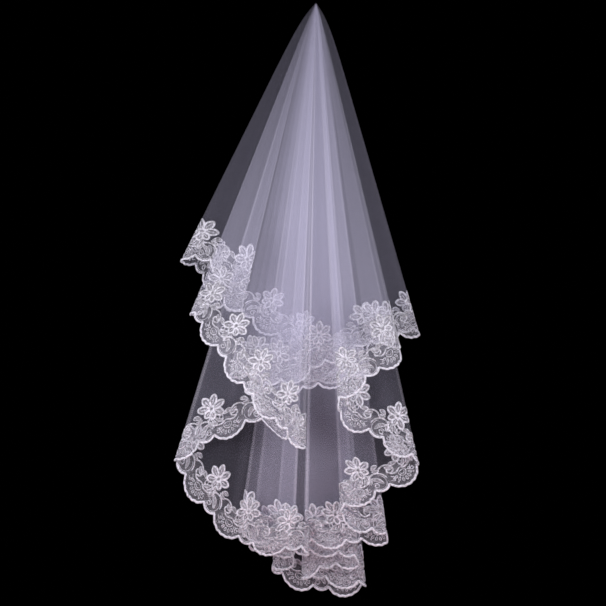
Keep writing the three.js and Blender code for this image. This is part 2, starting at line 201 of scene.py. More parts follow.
# The stage, in metres: the floor's size, the camera's place and each light's name, place, size, share of
# the front light's power, colour, height of the place that it faces and spread in degrees.
FLOOR_HEIGHT = -1.05
FLOOR_RADIUS = 0.9
FLOOR_RINGS = 9
FLOOR_CORNERS = 96
CAMERA_SIDE = -0.0199
CAMERA_HEIGHT = -0.459
LIGHTS = (
    ("front left light", (-0.55, -0.75, -0.40), 0.5, 1.0, (1.0, 0.98, 1.0), -0.40, 120),
    ("front right light", (0.55, -0.75, -0.42), 0.5, 0.75, (1.0, 0.98, 1.0), -0.40, 120),
    ("back light", (0.3, 2.2, 0.2), 1.4, 6.5, (0.94, 0.95, 1.0), -0.40, 120),
    ("warm light from below", (0.0, -1.1, -0.94), 0.2, 0.034, (1.0, 0.55, 0.58), -0.78, 40),
)


def ray_direction(side, back):
    """Unit vectors (tan side, tan back, -1) made one long, for angles from straight down in degrees."""
    across = np.tan(np.radians(side))
    behind = np.tan(np.radians(back))
    vectors = np.stack([across, behind, -np.ones_like(across)], axis=-1)
    return vectors / np.linalg.norm(vectors, axis=-1, keepdims=True)


def rounded(values, spread):
    """Bell-shaped average of a closed row over its neighbours: weights exp(-(k / spread)^2 / 2)."""
    reach = int(3 * spread)
    steps = np.arange(-reach, reach + 1)
    weights = np.exp(-0.5 * (steps / spread) ** 2)
    weights /= weights.sum()
    return sum(weight * np.roll(values, step, axis=0) for step, weight in zip(steps, weights))


def running_length(gaps):
    """Sum of the gaps up to each point of a closed row, one entry more than it has points."""
    return np.concatenate([[0.0], np.cumsum(gaps)])


def even_steps(points, run):
    """The same closed row at CURVE_STEPS equal steps of its running length, by straight interpolation."""
    at = np.arange(CURVE_STEPS) / CURVE_STEPS * run[-1]
    closed = np.vstack([points, points[:1]])
    return np.stack([np.interp(at, run, closed[:, axis]) for axis in (0, 1)], axis=1)


def direction_curve(swing_scale):
    """The rays of the cloth on its way round, the flat angle up to each and the angle of each row.

    Between two rows the way is a straight line with sine ripples across it. A fold end is a short line
    to the back or the front. A bell-shaped average rounds all corners.
    """
    rows = np.array([row[1:] for row in FOLDS], dtype=float)
    side, back, _, turn, waves, swing = rows.T
    half = turn / 2 * np.sign(np.roll(back, -1) - np.roll(back, 1))
    into = np.stack([side, back - half], axis=1)
    out = np.stack([side, back + half], axis=1)
    path = []
    row_at = []
    count = 0
    for i in range(len(FOLDS)):
        row_at.append(count)
        if turn[i] > 0:
            t = np.arange(STEPS_PER_TURN)[:, None] / STEPS_PER_TURN
            path.append(into[i] + (out[i] - into[i]) * t)
            row_at[-1] += STEPS_PER_TURN // 2
            count += STEPS_PER_TURN
        along = into[(i + 1) % len(FOLDS)] - out[i]
        t = np.arange(STEPS_PER_STRETCH)[:, None] / STEPS_PER_STRETCH
        wave = swing[i] * swing_scale * np.sin(2 * np.pi * waves[i] * t) / np.hypot(*along)
        path.append(out[i] + along * t + np.array([-along[1], along[0]]) * wave)
        count += STEPS_PER_STRETCH
    path = np.concatenate(path)
    path_run = running_length(np.hypot(*(np.roll(path, -1, axis=0) - path).T))
    rays = rounded(even_steps(path, path_run), FOLD_ROUNDING * CURVE_STEPS / path_run[-1])
    vectors = ray_direction(rays[:, 0], rays[:, 1])
    chords = np.linalg.norm(np.roll(vectors, -1, axis=0) - vectors, axis=1)
    turns = running_length(np.degrees(2 * np.arcsin(chords / 2)))
    row_steps = path_run[row_at] / path_run[-1] * CURVE_STEPS
    return rays, turns, np.interp(row_steps, np.arange(CURVE_STEPS + 1), turns)


def hem_lengths(row_turns):
    """Length of cloth to the hem at each step of flat angle: a monotone cubic through the rows."""
    drops = np.array([row[3] for row in FOLDS], dtype=float)
    widths = np.append(np.diff(row_turns), row_turns[0] + WHOLE_TURN - row_turns[-1])
    rises = (np.roll(drops, -1) - drops) / widths
    before = np.roll(rises, 1)
    same_way = before * rises > 0
    slopes = np.where(same_way, 2 * before * rises / np.where(same_way, before + rises, 1), 0)
    turn = np.arange(CURVE_STEPS) * STEP_TURN
    i = (np.searchsorted(row_turns, turn, side="right") - 1) % len(FOLDS)
    j = (i + 1) % len(FOLDS)
    t = ((turn - row_turns[i]) % WHOLE_TURN) / widths[i]
    ease = t * t * (3 - 2 * t)
    leave = t * (1 - t) ** 2 * widths[i] * slopes[i]
    arrive = t * t * (t - 1) * widths[i] * slopes[j]
    return drops[i] + (drops[j] - drops[i]) * ease + leave + arrive


def flat_ring(lengths, evened_over):
    """Hem of the flat cloth round its hanging point, with its lengths evened out over a flat angle."""
    evened = rounded(lengths, evened_over / STEP_TURN)
    turn = np.radians(np.arange(CURVE_STEPS) * STEP_TURN)
    return np.stack([evened * np.cos(turn), evened * np.sin(turn)], axis=1)


def closed_rays():
    """The direction curve whose ripples take up exactly one whole turn of flat cloth, by halving."""
    low = 0.0
    high = SWING_LIMIT
    for _ in range(SWING_TRIALS):
        middle = (low + high) / 2
        if direction_curve(middle)[1][-1] > WHOLE_TURN:
            high = middle
        else:
            low = middle
    rays, turns, row_turns = direction_curve(low)
    return even_steps(rays, turns), row_turns


RAYS, ROW_TURNS = closed_rays()
HEM_LENGTHS = hem_lengths(ROW_TURNS)
FLAT_HEM = flat_ring(HEM_LENGTHS, HEM_ROUNDING)
HEM_RUN = running_length(np.hypot(*(np.roll(FLAT_HEM, -1, axis=0) - FLAT_HEM).T))
HEM_LENGTH = HEM_RUN[-1]
REPEAT_LENGTH = HEM_LENGTH / LACE_REPEATS
EVENED_HEM = flat_ring(HEM_LENGTHS, INWARD_ROUNDING)
ALONG_HEM = np.roll(EVENED_HEM, -1, axis=0) - np.roll(EVENED_HEM, 1, axis=0)
ALONG_HEM /= np.linalg.norm(ALONG_HEM, axis=1, keepdims=True)
INWARDS = np.stack([-ALONG_HEM[:, 1], ALONG_HEM[:, 0]], axis=1)


def ray_at_turn(turn):
    """Direction of the ray at a flat angle of the cloth, between its two nearest steps."""
    step = np.mod(turn, WHOLE_TURN) / STEP_TURN
    index = np.floor(step).astype(int)
    share = (step - index)[..., None]
    ray = RAYS[index % CURVE_STEPS] * (1 - share) + RAYS[(index + 1) % CURVE_STEPS] * share
    return ray[..., 0], ray[..., 1]


def flat_place(hem_share, inward):
    """Turn and length of the flat point this far in from the hem, at a share of the way along it."""
    run = np.mod(hem_share, 1.0) * HEM_LENGTH
    index = np.clip(np.searchsorted(HEM_RUN, run, side="right") - 1, 0, CURVE_STEPS - 1)
    share = ((run - HEM_RUN[index]) / (HEM_RUN[index + 1] - HEM_RUN[index]))[..., None]
    after = (index + 1) % CURVE_STEPS
    place = FLAT_HEM[index] * (1 - share) + FLAT_HEM[after] * share
    place = place + (INWARDS[index] * (1 - share) + INWARDS[after] * share) * np.asarray(inward)[..., None]
    return np.degrees(np.arctan2(place[..., 1], place[..., 0])), np.linalg.norm(place, axis=-1)


def cloth_normal(turn):
    """Unit normal of the cloth at a flat angle, towards its inside: the step to the next ray x the ray."""
    direction = ray_direction(*ray_at_turn(turn))
    across = ray_direction(*ray_at_turn(turn + STEP_TURN)) - ray_direction(*ray_at_turn(turn - STEP_TURN))
    normal = np.cross(across, direction)
    return normal / np.linalg.norm(normal, axis=-1, keepdims=True)


def ripple(turn, length):
    """Small waves of the cloth across itself: sines round the turn that grow below RIPPLE_START."""
    height = bpy.context.scene.veil_cloth.ripple_height / METRES
    angle = np.radians(turn)
    waves = sum(np.sin(count * angle + count) for count in RIPPLE_COUNTS) / len(RIPPLE_COUNTS)
    return height * waves * np.clip(length / RIPPLE_START - 1, 0, 2)


def hang(turn, length, offset=0.0):
    """Hanging place, in metres, of a point of the flat cloth, set off towards the inside of the veil.

    The point lies on its ray at its length of cloth. The pleats start side by side, so the ray's start
    moves sideways by its share of the tip's half width times 1 - exp(-length / TIP_ROUNDING).
    """
    side, back = ray_at_turn(turn)
    gathered = 1 - np.exp(-length / TIP_ROUNDING)
    loose = np.clip((back - FRONT_TIP_BACK) / (LOOSE_TIP_BACK - FRONT_TIP_BACK), 0, 1)
    loose = loose * loose * (3 - 2 * loose)
    half_width = TIP_HALF_WIDTH * (FRONT_TIP_SHARE + (1 - FRONT_TIP_SHARE) * loose)
    point = ray_direction(side, back) * length[..., None]
    point[..., 0] += half_width * gathered * (side - FAN_CENTRE) / FAN_HALF_WIDTH
    point[..., 1] += TIP_HALF_DEPTH * gathered * back / FAN_HALF_DEPTH
    return (point + cloth_normal(turn) * (offset + ripple(turn, length))[..., None]) * METRES


def grid_faces(columns, rows, closed_columns=True, closed_rows=False):
    """Four-cornered faces of a grid of points that is numbered row by row inside each column."""
    i = np.arange(columns if closed_columns else columns - 1)[:, None]
    j = np.arange(rows if closed_rows else rows - 1)[None, :]
    after_i = (i + 1) % columns
    after_j = (j + 1) % rows
    corners = [i * rows + j, after_i * rows + j, after_i * rows + after_j, i * rows + after_j]
    return np.stack([np.broadcast_to(corner, (len(i), j.size)) for corner in corners], axis=-1).reshape(-1, 4)


def make_piece(name, points, face_sets, uv, material, attributes=None):
    """A smooth mesh piece at the origin, from arrays of points and faces, with its own UV map."""
    mesh = bpy.data.meshes.new(name)
    corners = np.concatenate([faces.ravel() for faces in face_sets])
    sizes = np.concatenate([np.full(len(faces), faces.shape[1]) for faces in face_sets])
    starts = np.concatenate([[0], np.cumsum(sizes)[:-1]])
    mesh.vertices.add(len(points))
    mesh.vertices.foreach_set("co", points.astype(np.float32).ravel())
    mesh.loops.add(len(corners))
    mesh.loops.foreach_set("vertex_index", corners.astype(np.int32))
    mesh.polygons.add(len(sizes))
    mesh.polygons.foreach_set("loop_start", starts.astype(np.int32))
    mesh.polygons.foreach_set("use_smooth", np.ones(len(sizes), dtype=bool))
    layer = mesh.uv_layers.new(name="Cloth")
    layer.data.foreach_set("uv", uv[corners].astype(np.float32).ravel())
    for key, values in (attributes or {}).items():
        attribute = mesh.attributes.new(key, "FLOAT", "POINT")
        attribute.data.foreach_set("value", values.astype(np.float32))
    mesh.update(calc_edges=True)
    if mesh.validate():
        raise RuntimeError(f"{name}: the mesh had faces that can't be used")
    mesh.materials.append(material)
    piece = bpy.data.objects.new(name, mesh)
    bpy.context.scene.collection.objects.link(piece)
    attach(piece, "root")
    return piece


class Strand:
    """One socket of a material's nodes. An expression on it adds the Math nodes that it needs."""

    def __init__(self, recipe, socket):
        self.recipe = recipe
        self.socket = socket

    def math(self, operation, *values):
        """The output of a new Math node with this operation and these values."""
        return self.recipe.add("ShaderNodeMath", {"operation": operation}, dict(enumerate(values)))

    def __add__(self, other):
        return self.math("ADD", self, other)

    def __sub__(self, other):
        return self.math("SUBTRACT", self, other)

    def __rsub__(self, other):
        return self.math("SUBTRACT", other, self)

    def __mul__(self, other):
        return self.math("MULTIPLY", self, other)

    __radd__ = __add__
    __rmul__ = __mul__

    def cosine(self):
        return self.math("COSINE", self)

    def square_root(self):
        return self.math("SQRT", self)

    def at_most(self, other):
        return self.math("MINIMUM", self, other)

    def at_least(self, other):
        return self.math("MAXIMUM", self, other)


class Recipe:
    """A material that is written node by node and ends in one Principled shader."""

    def __init__(self, name):
        self.material = bpy.data.materials.new(name)
        self.material.use_nodes = True
        self.tree = self.material.node_tree
        self.tree.nodes.clear()

    def add(self, kind, settings=None, values=None, output=0):
        """Adds a node, sets its settings first and then its sockets, and gives back one output."""
        node = self.tree.nodes.new(kind)
        for key, value in (settings or {}).items():
            setattr(node, key, value)
        for key, value in (values or {}).items():
            if isinstance(value, Strand):
                self.tree.links.new(value.socket, node.inputs[key])
            else:
                node.inputs[key].default_value = value
        return Strand(self, node.outputs[output]) if node.outputs else None

    def flat_coordinates(self):
        """The two coordinates of the piece's own UV map."""
        uv = self.add("ShaderNodeUVMap", {"uv_map": "Cloth"})
        return [self.add("ShaderNodeSeparateXYZ", values={0: uv}, output=axis) for axis in (0, 1)]

    def noise(self, scale, detail):
        """Soft noise on the object's own coordinates, about one half on the average."""
        place = self.add("ShaderNodeTexCoord", output=3)
        return self.add("ShaderNodeTexNoise", values={"Vector": place, "Scale": scale, "Detail": detail})

    def attribute(self, name):
        """A number that the piece's mesh holds for each point."""
        return self.add("ShaderNodeAttribute", {"attribute_name": name}, output=2)

    def mixed_colour(self, share, first, second):
        """Colour between two others by a share from 0 to 1."""
        settings = {"data_type": "RGBA"}
        return self.add("ShaderNodeMix", settings, {0: share, 6: (*first, 1), 7: (*second, 1)}, output=2)

    def bump(self, height, strength, distance):
        """A normal that follows a height."""
        values = {"Height": height, "Strength": strength, "Distance": distance}
        return self.add("ShaderNodeBump", values=values)

    def finish(self, values):
        """Ends the material in a Principled shader with these socket values."""
        shader = self.add("ShaderNodeBsdfPrincipled", values=values)
        self.add("ShaderNodeOutputMaterial", values={"Surface": shader})
        return self.material


def tulle_material(cloth):
    """Sheer net: threads round six-sided holes, denser where the cloth creases or is streaked.

    The holes are where three cosines, 120 degrees apart, add up to the most. Cover is the cloth's mean
    cover times the thread pattern, one plus the crease and one plus the streaks.
    """
    recipe = Recipe("sheer tulle net")
    across, along = recipe.flat_coordinates()
    turn = 2 * math.pi / cloth.net_pitch
    first = (across * turn).cosine()
    second = (across * (-turn / 2) + along * (turn * math.sqrt(3) / 2)).cosine()
    third = (across * (-turn / 2) - along * (turn * math.sqrt(3) / 2)).cosine()
    threads = 1 - (first + second + third) * NET_CONTRAST
    crease = recipe.attribute("crease")
    streak = recipe.attribute("streak")
    fuller = recipe.attribute("fuller")
    cover = threads * (1 + crease * cloth.crease_cover) * (1 + streak * cloth.streak_cover) * (1 + fuller)
    cover = (cover * cloth.cover).at_most(MOST_COVER)
    # Painted highlight: the net's colour turns whiter in sharp creases, for light passing between the folded
    # layers.
    colour = recipe.mixed_colour(crease * 0.6, cloth.shade_colour, cloth.lit_thread_colour)
    return recipe.finish(
        {
            "Base Color": colour,
            "Alpha": cover,
            "Roughness": 0.55,
            "Specular IOR Level": 0.2,
            "Sheen Weight": 0.15,
            "Sheen Roughness": 0.4,
        }
    )


def thread_material(name, lace, painted_lit_share, cover=None):
    """Satin-stitched thread: fine ridges along the stroke, and painted sparkle highlights and shade in its
    white.

    Ridges are a cosine of the running length. The light and dark spots are partly random tone of the
    thread and mostly painted sparkle highlights and shade of the raised satin. The painted lit share sets
    how lit each kind of stroke is painted, as the share of the light colour on the average, so cords look
    more lit and fills more shaded. Where cover is given, the thread is open between its stitches, so it
    hides this share of what is behind it on the average.
    """
    recipe = Recipe(name)
    run, _ = recipe.flat_coordinates()
    ridges = (run * (2 * math.pi / lace.stitch_pitch)).cosine()
    # Partly random tone of the thread, mostly painted sparkle highlights and shade; the painted lit share
    # makes a stroke kind look more lit or more shaded.
    uneven = ((recipe.noise(330.0, 3.0) - 0.5) * 4 + painted_lit_share).at_least(0.0).at_most(1.0)
    colour = recipe.mixed_colour(uneven, lace.shade_colour, lace.lit_thread_colour)
    values = {
        "Base Color": colour,
        "Roughness": 0.42,
        "Specular IOR Level": 0.35,
        "Sheen Weight": 0.2,
        "Sheen Roughness": 0.3,
        "Normal": recipe.bump(ridges + uneven, 0.35, 0.0003),
    }
    if cover is not None:
        values["Alpha"] = (cover + ridges * (0.6 * cover)).at_most(1.0)
    return recipe.finish(values)


def ground_material(lace):
    """Fine embroidery between the motifs: winding threads where a soft noise is near one half.

    Cover is a little everywhere and more on the threads, and fades out with the piece's own attribute.
    """
    recipe = Recipe("lace ground")
    from_half = recipe.noise(480.0, 1.0) - 0.5
    winding = (1 - (from_half * from_half).square_root() * 8).at_least(0.0)
    patchy = recipe.noise(110.0, 2.0)
    cover = recipe.attribute("fade") * (winding * 0.9 + 0.12) * (patchy * 2) * lace.ground_cover
    # Painted shade: the ground between its winding threads takes the dark shade colour.
    colour = recipe.mixed_colour(winding, lace.shade_colour, lace.lit_thread_colour)
    return recipe.finish({"Base Color": colour, "Alpha": cover.at_most(MOST_COVER), "Roughness": 0.6})


def flat_direction(angle):
    """Unit vectors (cos, sin) of the flat lace at angles in degrees."""
    return np.stack([np.cos(np.radians(angle)), np.sin(np.radians(angle))], axis=-1)


def arc(centre, radius, start, end):
    """Circle's points from one angle to another in degrees: centre + radius (cos, sin)."""
    count = max(8, int(abs(math.radians(end - start)) * radius / STROKE_STEP) + 1)
    return np.array(centre) + radius * flat_direction(np.linspace(start, end, count))


def ring(centre, radius):
    """A whole circle whose last point isn't its first."""
    return arc(centre, radius, 0, 360)[:-1]


def spiral(centre, start_radius, end_radius, start, end):
    """Points whose radius grows evenly with their angle."""
    count = int(abs(math.radians(end - start)) * (start_radius + end_radius) / 2 / STROKE_STEP) + 6
    share = np.linspace(0, 1, count)
    radius = start_radius + (end_radius - start_radius) * share
    return np.array(centre) + radius[:, None] * flat_direction(start + (end - start) * share)


def soft_line(*knots):
    """A smooth line through knots: each stretch is a cubic whose slope is that of its neighbours."""
    knots = np.array(knots, dtype=float)
    padded = np.vstack([2 * knots[0] - knots[1], knots, 2 * knots[-1] - knots[-2]])
    pieces = []
    for i in range(len(knots) - 1):
        a, b, c, d = padded[i : i + 4]
        count = max(3, int(np.linalg.norm(c - b) / STROKE_STEP) + 1)
        t = np.arange(count)[:, None] / count
        pieces.append(
            0.5 * (2 * b + (c - a) * t + (2 * a - 5 * b + 4 * c - d) * t**2 + (3 * b - a - 3 * c + d) * t**3)
        )
    return np.vstack([*pieces, knots[-1:]])


def blade_half_width(share, root, point):
    """Half width of a petal or leaf, 1 at its widest: share^root (1 - share)^point over its largest."""
    widest = root / (root + point)
    return share**root * (1 - share) ** point / (widest**root * (1 - widest) ** point)


def blade_place(start, angle, length, half_width, bend, share, side, root=0.9, point=0.7):
    """Point of a petal or leaf at a share of its length, side from -1 to 1 across it.

    Its middle line bends to one side by bend times the sine of half a turn.
    """
    along = flat_direction(angle)
    across = np.array([-along[1], along[0]])
    reach = side * half_width * blade_half_width(share, root, point) + bend * np.sin(np.pi * share)
    return np.array(start) + along * (length * share)[..., None] + across * reach[..., None]


def blade_outline(start, angle, length, half_width, bend=0.0, root=0.9, point=0.7):
    """Closed outline of a petal or leaf, up one side and down the other."""
    count = max(4, int(length / STROKE_STEP) + 1)
    share = (1 - np.cos(np.linspace(0, np.pi, count + 1))) / 2
    up = blade_place(start, angle, length, half_width, bend, share, np.ones_like(share), root, point)
    down = blade_place(start, angle, length, half_width, bend, share[::-1], -np.ones_like(share), root, point)
    return np.vstack([up[:-1], down[:-1]])


class LaceWork:
    """The strokes and fills of one lace repeat, gathered as arrays and then laid along the whole hem."""

    def __init__(self):
        self.flat = []
        self.lift = []
        self.uv = []
        self.faces = []
        self.count = 0

    def keep_tube(self, flat, lift, uv, closed=False):
        """Adds a tube of columns and sides: flat places in mm, heights off the cloth, UV, faces and caps."""
        columns, sides = lift.shape
        faces = [grid_faces(columns, sides, closed, True)]
        if not closed:
            cap = np.array([[0, corner, corner + 1, corner + 2] for corner in range(1, sides - 1, 2)])
            faces += [cap, (cap + (columns - 1) * sides)[:, ::-1]]
        self.flat.append(flat.reshape(-1, 2))
        self.lift.append(lift.ravel())
        self.uv.append(uv.reshape(-1, 2))
        self.faces.append(np.vstack(faces) + self.count)
        self.count += lift.size

    def stroke(self, path, width, height, closed=False, sides=4, end_share=0.35):
        """A cord along a path: its section is an ellipse of this width and height with a few sides.

        Over its last width an open cord gets narrower to a share of it. A flat cap closes each end.
        """
        ahead = np.roll(path, -1, axis=0) - np.roll(path, 1, axis=0)
        if not closed:
            ahead[0] = path[1] - path[0]
            ahead[-1] = path[-1] - path[-2]
        ahead /= np.linalg.norm(ahead, axis=1, keepdims=True)
        across = np.stack([-ahead[:, 1], ahead[:, 0]], axis=1)
        gaps = np.linalg.norm(np.diff(path, axis=0), axis=1)
        run = np.concatenate([[0], np.cumsum(gaps)])
        slim = np.ones(len(path))
        if not closed:
            from_end = np.minimum(run, run[-1] - run) / width
            slim = np.clip(end_share + (1 - end_share) * from_end, 0, 1)
        angle = 2 * np.pi * np.arange(sides) / sides
        side = slim[:, None] * np.cos(angle) * width / 2
        lift = slim[:, None] * np.sin(angle) * height / 2
        flat = path[:, None, :] + across[:, None, :] * side[:, :, None]
        round_it = np.broadcast_to(angle / (2 * np.pi) * (width + height), lift.shape)
        uv = np.stack([np.broadcast_to(run[:, None], lift.shape), round_it], axis=-1) * METRES
        self.keep_tube(flat, lift, uv, closed)

    def blade_fill(self, start, angle, length, half_width, bend, height, root=0.9, point=0.7):
        """A thin pillow inside a petal or leaf: two grids over its length and width that meet at its rim.

        Its height is height times 1 - side^2 times the square root of its half width.
        """
        share = np.linspace(0.04, 0.96, 7)
        side = np.array([-1.0, 0.0, 1.0, 0.0])
        face = np.array([0.0, 1.0, 0.0, -1.0])
        across, along = np.meshgrid(side, share)
        flat = blade_place(start, angle, length, half_width, bend, along, across, root, point)
        lift = face * height / 2 * np.sqrt(blade_half_width(along, root, point))
        uv = np.stack([along * length, across * half_width], axis=-1) * METRES
        self.keep_tube(flat, lift, uv)

    def lay_along_hem(self):
        """Points, faces and UV of all repeats: x becomes the way along the hem and y the way in."""
        flat = np.concatenate(self.flat)
        lift = np.concatenate(self.lift)
        faces = np.concatenate(self.faces)
        start = np.arange(LACE_REPEATS)[:, None] * REPEAT_LENGTH
        hem_share = (start + flat[:, 0]) / HEM_LENGTH
        turn, length = flat_place(hem_share, np.broadcast_to(flat[:, 1], hem_share.shape))
        points = hang(turn, length, np.broadcast_to(-lift, hem_share.shape))
        all_faces = faces[None] + (np.arange(LACE_REPEATS) * self.count)[:, None, None]
        all_uv = np.tile(np.concatenate(self.uv), (LACE_REPEATS, 1))
        return points.reshape(-1, 3), all_faces.reshape(-1, 4), all_uv


def faces_outwards(points, faces):
    """The same faces, all turned over if the closed shapes that they make have a negative volume."""
    a, b, c, d = (points[faces[:, k]] for k in range(4))
    volume = (np.cross(b - a, c - a) * a).sum() + (np.cross(c - a, d - a) * a).sum()
    return faces[:, ::-1] if volume < 0 else faces


def make_lace(name, work, material):
    """Lays lace work along the hem and makes it one piece of the lace border."""
    points, faces, uv = work.lay_along_hem()
    piece = make_piece(name, points, [faces_outwards(points, faces)], uv, material)
    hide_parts("lace_border")


def edge_depth(x):
    """How far the lace edge lies in from the hem at x: the nearer of the two scallops' circles."""
    from_middle = (x + REPEAT_LENGTH / 2) % REPEAT_LENGTH - REPEAT_LENGTH / 2
    big = BIG_SCALLOP_RADIUS - np.sqrt(np.clip(BIG_SCALLOP_RADIUS**2 - from_middle**2, 0, None))
    from_loop = (x - SMALL_LOOP_CENTRE[0] + REPEAT_LENGTH / 2) % REPEAT_LENGTH - REPEAT_LENGTH / 2
    drop = np.sqrt(np.clip(SMALL_LOOP_RADIUS**2 - from_loop**2, 0, None))
    small = np.where(drop > 0, SMALL_LOOP_CENTRE[1] - drop, np.inf)
    return np.minimum(big, small)


def edge_path():
    """The edge of one repeat from notch to notch, with picots: small waves outwards on the big scallop."""
    steps = int(REPEAT_LENGTH / EDGE_STEP)
    x = -REPEAT_LENGTH / 2 + REPEAT_LENGTH * np.arange(steps + 1) / steps
    depth = edge_depth(x)
    on_big = np.clip((BIG_SCALLOP_HALF - np.abs(x)) / 3, 0, 1)
    picots = PICOT_HEIGHT * (1 + np.cos(2 * np.pi * x / PICOT_PITCH)) / 2
    return np.stack([x, depth - on_big * picots], axis=1)


class VeilClothSettings(bpy.types.PropertyGroup):
    """Sizes and colours of the tulle."""

    cover: bpy.props.FloatProperty(
        name="Cover", description="Share of light that one layer of net stops", default=0.043, min=0, max=1
    )
    crease_cover: bpy.props.FloatProperty(
        name="Crease cover", description="How much denser a sharp crease looks", default=1.0, min=0
    )
    streak_cover: bpy.props.FloatProperty(
        name="Streak cover", description="How much denser the fine streaks look", default=0.6, min=0
    )
    net_pitch: bpy.props.FloatProperty(
        name="Net pitch", description="Distance between the holes", default=0.0009, min=0.0001, unit="LENGTH"
    )
    ripple_height: bpy.props.FloatProperty(
        name="Ripple height", description="Height of the small waves", default=0.0008, min=0, unit="LENGTH"
    )
    # The whiter colour that the creases are painted with: a painted highlight.
    lit_thread_colour: bpy.props.FloatVectorProperty(
        name="Thread colour", description="Colour in the creases", default=(0.90, 0.87, 1.0), subtype="COLOR"
    )
    shade_colour: bpy.props.FloatVectorProperty(
        name="Net colour", description="Colour of the flat net", default=(0.79, 0.765, 1.0), subtype="COLOR"
    )


class VeilLaceSettings(bpy.types.PropertyGroup):
    """Sizes and colours of the embroidered lace."""

    cord_width: bpy.props.FloatProperty(
        name="Cord width", description="Width of the edge cord", default=0.0035, min=0.0005, unit="LENGTH"
    )
    thread_width: bpy.props.FloatProperty(
        name="Thread width", description="Width of a main stroke", default=0.0025, min=0.0003, unit="LENGTH"
    )
    relief: bpy.props.FloatProperty(
        name="Relief", description="Thickness of a main stroke", default=0.0011, min=0.0002, unit="LENGTH"
    )
    stitch_pitch: bpy.props.FloatProperty(
        name="Stitch pitch", description="Step of the stitches", default=0.0007, min=0.0001, unit="LENGTH"
    )
    fill_cover: bpy.props.FloatProperty(
        name="Fill cover", description="Cover of one side of a filled petal", default=0.4, min=0, max=1
    )
    ground_cover: bpy.props.FloatProperty(
        name="Ground cover", description="Cover of the fine embroidery", default=0.25, min=0, max=1
    )
    # The light and the dark thread colours are the lit and shaded ends of the threads' painted highlights and
    # shade.
    lit_thread_colour: bpy.props.FloatVectorProperty(
        name="Thread colour", description="Light thread", default=(0.77, 0.75, 0.85), subtype="COLOR"
    )
    shade_colour: bpy.props.FloatVectorProperty(
        name="Shade colour", description="Dark thread", default=(0.31, 0.30, 0.34), subtype="COLOR"
    )


class VeilStageSettings(bpy.types.PropertyGroup):
    """Floor, lights and camera."""

    floor_colour: bpy.props.FloatVectorProperty(
        name="Floor colour", description="Pale floor", default=(0.80, 0.74, 0.75), subtype="COLOR"
    )
    front_light: bpy.props.FloatProperty(
        name="Front light", description="Power of the soft front lights in watts", default=3.5, min=0
    )
    camera_distance: bpy.props.FloatProperty(
        name="Camera distance", description="From the veil's middle", default=4.0, min=1, unit="LENGTH"
    )
    lens: bpy.props.FloatProperty(
        name="Lens", description="Focal length in mm", default=155.3, min=10
    )


class VEIL_OT_tulle(bpy.types.Operator):
    """Make the sheet of tulle: rays of cloth from the hanging point to the lace edge"""

    bl_idname = "veil.make_tulle"
    bl_label = "Tulle"

    def execute(self, context):
        cloth = context.scene.veil_cloth
        columns = LACE_REPEATS * COLUMNS_PER_REPEAT
        x = np.arange(columns) / COLUMNS_PER_REPEAT * REPEAT_LENGTH
        turn, length = flat_place(x / HEM_LENGTH, edge_depth(x))
        lower = np.arange(1, LOWER_ROWS + 1) / LOWER_ROWS
        tip = np.broadcast_to(TIP_ROWS, (columns, len(TIP_ROWS)))
        lengths = np.concatenate([tip, TIP_ROWS[-1] + (length[:, None] - TIP_ROWS[-1]) * lower], axis=1)
        turns = np.broadcast_to(turn[:, None], lengths.shape)
        rows = lengths.shape[1]
        points = hang(turns, lengths).reshape(-1, 3)
        angle = np.radians(turns)
        uv = np.stack([lengths * np.cos(angle), lengths * np.sin(angle)], axis=-1).reshape(-1, 2) * METRES
        pole = columns * rows
        i = np.arange(columns)
        fan = np.stack([(i + 1) % columns * rows, np.full(columns, pole), i * rows], axis=1)
        points = np.vstack([points, np.zeros((1, 3))])
        uv = np.vstack([uv, np.zeros((1, 2))])
        by_column = {"crease": self.creases(turn), "streak": self.streaks(turn), "fuller": self.fuller(turn)}
        attributes = {name: np.append(np.repeat(values, rows), 0.0) for name, values in by_column.items()}
        material = tulle_material(cloth)
        faces = grid_faces(columns, rows)[:, ::-1]
        piece = make_piece("tulle_cloth", points, [faces, fan], uv, material, attributes)
        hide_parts("tulle_veil")
        return {"FINISHED"}

    def creases(self, turn):
        """How sharply the cloth is folded at each column, in front and at its edges.

        It is the turn of the cloth's normal for a degree of cloth, and fades out towards the back.
        """
        normal = cloth_normal(turn)
        change = np.linalg.norm(np.roll(normal, -1, axis=0) - np.roll(normal, 1, axis=0), axis=1)
        gap = np.mod(np.roll(turn, -1) - np.roll(turn, 1), WHOLE_TURN)
        sharp = np.clip((rounded(np.degrees(change) / gap, 2.0) - CREASE_START) / CREASE_SPAN, 0, 1)
        return sharp * np.clip((CREASE_LAST_BACK - ray_at_turn(turn)[1]) / CREASE_FADE_BACK, 0, 1)

    def streaks(self, turn):
        """Fine pressed lines that run down the cloth: narrow bells at random turns."""
        chance = np.random.default_rng(RANDOM_SEED)
        at = chance.uniform(0, WHOLE_TURN, STREAKS)
        width = chance.uniform(*STREAK_WIDTHS, STREAKS)
        height = chance.uniform(0.2, 1.0, STREAKS) ** 3
        away = np.mod(turn[:, None] - at + WHOLE_TURN / 2, WHOLE_TURN) - WHOLE_TURN / 2
        return (height * np.exp(-0.5 * (away / width) ** 2)).sum(axis=1)

    def fuller(self, turn):
        """How much denser fine gathers make the net: steps with soft edges between two rows each."""
        names = [row[0] for row in FOLDS]
        extra = np.zeros_like(turn)
        for first, last, height in FULLER_PLEATS:
            start = ROW_TURNS[names.index(first)]
            end = ROW_TURNS[names.index(last)]
            inside = np.minimum(turn % WHOLE_TURN - start, end - turn % WHOLE_TURN) / FULLER_EDGE
            extra += height * np.clip(0.5 + inside / 2, 0, 1)
        return extra


